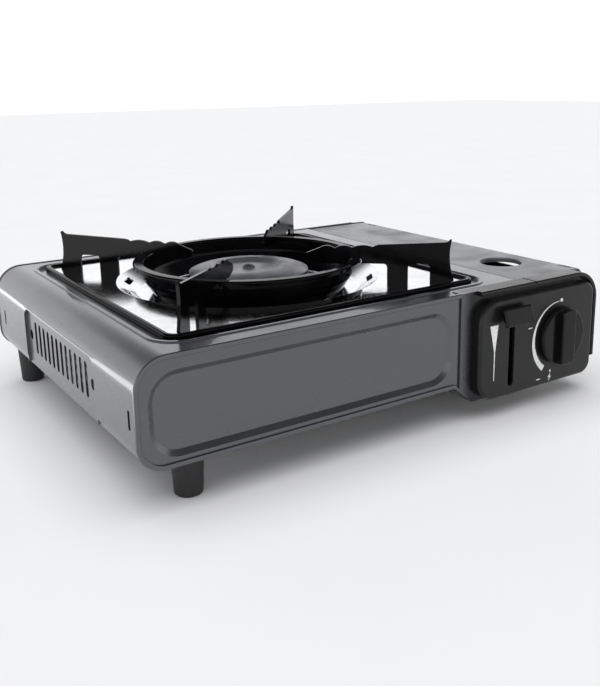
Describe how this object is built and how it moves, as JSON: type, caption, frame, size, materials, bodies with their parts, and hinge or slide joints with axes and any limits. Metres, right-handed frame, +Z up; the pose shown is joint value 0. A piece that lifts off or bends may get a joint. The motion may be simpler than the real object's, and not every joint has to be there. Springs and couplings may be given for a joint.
{
  "type": "portable gas stove",
  "caption": "Flat portable butane stove with a square tray, wind ring, upright pan-support fins, cartridge bay under a hinged cover, control knob and fuel-lock lever.",
  "frame": {"origin": "on the ground, under the middle of the stove's overall box, from the knob's face to the back panel", "axes": "+X from the burner side to the cartridge side, +Y from the controls to the back, +Z up"},
  "size_m": [0.343, 0.282, 0.114],
  "materials": {
    "body_paint": "gloss gunmetal stoving paint with fine metallic flake",
    "cover_paint": "satin gunmetal paint, faintly mottled",
    "black_plastic": "satin moulded black ABS",
    "knob_plastic": "glossy moulded black plastic",
    "foot_rubber": "matt black moulded rubber",
    "zinc_steel": "bright zinc plated steel",
    "tray_steel": "bright polished pressed steel",
    "black_enamel": "gloss black vitreous enamel",
    "cast_aluminium": "fine-grained die casting",
    "brass": "machined brass",
    "copper": "drawn copper tube",
    "seal_rubber": "black nitrile rubber",
    "igniter_plastic": "natural white nylon",
    "lead_jacket": "red silicone jacket",
    "ceramic": "glazed white ceramic",
    "print_white": "white pad-printed ink"
  },
  "bodies": {
    "stove": {"body_shell": "body_paint", "front_panel": "body_paint", "back_panel": "body_paint", "base_pan": "body_paint", "control_surround": "black_plastic", "control_fascia": "black_plastic", "hinge_blocks": "knob_plastic", "foot_front_left": "foot_rubber", "foot_back_left": "foot_rubber", "foot_front_right": "foot_rubber", "foot_back_right": "foot_rubber", "foot_screws": "zinc_steel", "foot_nuts": "zinc_steel", "bracket_screws": "zinc_steel", "burner_cap_screw": "zinc_steel", "regulator_screws": "zinc_steel", "bay_partition": "zinc_steel", "burner_bracket": "zinc_steel", "regulator_bracket": "zinc_steel", "lever_bracket": "zinc_steel", "carriage_guides": "zinc_steel", "lever_pivot_pin": "zinc_steel", "hinge_pins": "zinc_steel", "regulator_spring": "zinc_steel", "igniter_clip": "zinc_steel", "electrode_bracket": "zinc_steel", "spark_electrode": "zinc_steel", "burner_body": "cast_aluminium", "burner_ring": "cast_aluminium", "burner_cap": "cast_aluminium", "valve_body": "cast_aluminium", "regulator_cap": "cast_aluminium", "cartridge_collar": "cast_aluminium", "air_shutter": "zinc_steel", "gas_nozzle": "brass", "gas_pipe": "copper", "regulator_diaphragm": "seal_rubber", "collar_seal": "seal_rubber", "igniter_body": "igniter_plastic", "ignition_lead": "lead_jacket", "electrode_insulator": "ceramic"},
    "knob": {"knob": "knob_plastic", "valve_spindle": "zinc_steel", "igniter_cam": "igniter_plastic"},
    "lever": {"lever_arm": "zinc_steel", "lever_handle": "knob_plastic", "crank_pin": "zinc_steel"},
    "carriage": {"carriage": "zinc_steel", "pusher_springs": "zinc_steel"},
    "pusher": {"pusher_plate": "zinc_steel", "pusher_pins": "zinc_steel"},
    "plunger": {"igniter_plunger": "igniter_plastic"},
    "cover": {"cartridge_cover": "cover_paint"},
    "pan_support": {"drip_tray": "tray_steel", "tray_rim": "black_enamel", "wind_ring": "black_enamel", "fin_front_right": "black_enamel", "fin_back_right": "black_enamel", "fin_back_left": "black_enamel", "fin_front_left": "black_enamel"}
  },
  "joints": [
    {"name": "knob_turn", "type": "hinge", "parent": "stove", "child": "knob", "pos_m": [0.1305, -0.13, 0.047], "axis": [0, -1, 0], "range_deg": [0, 165]},
    {"name": "lever_swing", "type": "hinge", "parent": "stove", "child": "lever", "pos_m": [0.085, -0.06, 0.046], "axis": [1, 0, 0], "range_deg": [0, 33.2]},
    {"name": "carriage_slide", "type": "slide", "parent": "stove", "child": "carriage", "axis": [0, -1, 0], "range_m": [0, 0.008]},
    {"name": "pusher_slide", "type": "slide", "parent": "carriage", "child": "pusher", "axis": [0, 1, 0], "range_m": [0, 0.0025], "stiffness_N_per_m": 1500, "springref_m": -0.002},
    {"name": "igniter_press", "type": "slide", "parent": "stove", "child": "plunger", "axis": [1, 0, 0], "range_m": [0, 0.004], "stiffness_N_per_m": 800, "springref_m": -0.002},
    {"name": "cover_hinge", "type": "hinge", "parent": "stove", "child": "cover", "pos_m": [0.169, 0, 0.0784], "axis": [0, 1, 0], "range_deg": [0, 105]},
    {"name": "pan_support_lift", "type": "slide", "parent": "stove", "child": "pan_support", "axis": [0, 0, 1], "range_m": [0, 0.07]}
  ],
  "couplings": [
    {"joint": "carriage_slide", "follows": "lever_swing", "m_per_rad": 0.0138}
  ]
}
